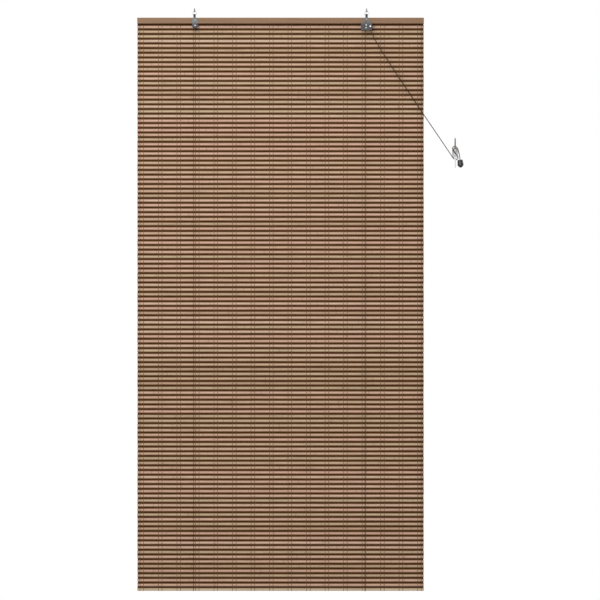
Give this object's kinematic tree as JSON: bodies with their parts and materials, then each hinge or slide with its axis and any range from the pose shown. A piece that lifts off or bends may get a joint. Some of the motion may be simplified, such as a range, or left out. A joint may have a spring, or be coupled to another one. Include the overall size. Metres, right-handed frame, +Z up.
{
  "type": "bamboo roll up blind",
  "caption": "Bamboo roll up blind hung by ceiling screws, with pulleys, a cord lock and a wall cleat that holds its pull cord.",
  "frame": {"origin": "at the ceiling plane, midway between the two hanging screws, on the line through their axes", "axes": "+X across the blind to the right as seen from the room, +Y from the room to the wall, +Z up"},
  "size_m": [0.9113, 0.0497, 1.629],
  "materials": {
    "bamboo": "satin",
    "rail_wood": "satin",
    "bottom_strip": "satin",
    "thread": "matte",
    "cord": "matte",
    "steel": "satin",
    "cleat_metal": "satin",
    "end_plastic": "gloss"
  },
  "bodies": {
    "frame": {"head_rail": "rail_wood", "blind_mat": "bamboo", "bottom_bar": "bottom_strip", "warp_threads": "thread", "mat_staples": "steel", "cord_staples": "steel", "left_screw_eye": "steel", "right_screw_eye": "steel", "left_bracket": "steel", "left_axle": "steel", "right_bracket": "steel", "guide_axle": "steel", "frame_rivet": "steel", "lock_bar": "steel", "bracket_screws": "steel", "left_lift_cord": "cord", "right_lift_cord": "cord", "pull_cord": "cord", "cord_end_piece": "end_plastic", "cleat": "cleat_metal", "cleat_screws": "steel"},
    "left_sheave": {"left_sheave": "steel"},
    "guide_sheave_back": {"guide_sheave_back": "steel"},
    "guide_sheave_front": {"guide_sheave_front": "steel"},
    "lock_pin": {"lock_pin": "steel"},
    "lock_roller": {"lock_roller": "steel"}
  },
  "joints": [
    {"name": "left_sheave_spin", "type": "hinge", "parent": "frame", "child": "left_sheave", "pos_m": [-0.2385, -0.0009, -0.0399], "axis": [0, 1, 0], "continuous": true},
    {"name": "guide_back_spin", "type": "hinge", "parent": "frame", "child": "guide_sheave_back", "pos_m": [0.239, -0.0009, -0.0389], "axis": [0, 1, 0], "continuous": true},
    {"name": "guide_front_spin", "type": "hinge", "parent": "frame", "child": "guide_sheave_front", "pos_m": [0.239, -0.0051, -0.0389], "axis": [0, 1, 0], "continuous": true},
    {"name": "lock_pin_slide", "type": "slide", "parent": "frame", "child": "lock_pin", "axis": [-0.7965, 0, 0.6046], "range_m": [0, 0.0025]},
    {"name": "lock_roller_spin", "type": "hinge", "parent": "lock_pin", "child": "lock_roller", "pos_m": [0.25026, -0.003, -0.04205], "axis": [0, 1, 0], "continuous": true}
  ]
}
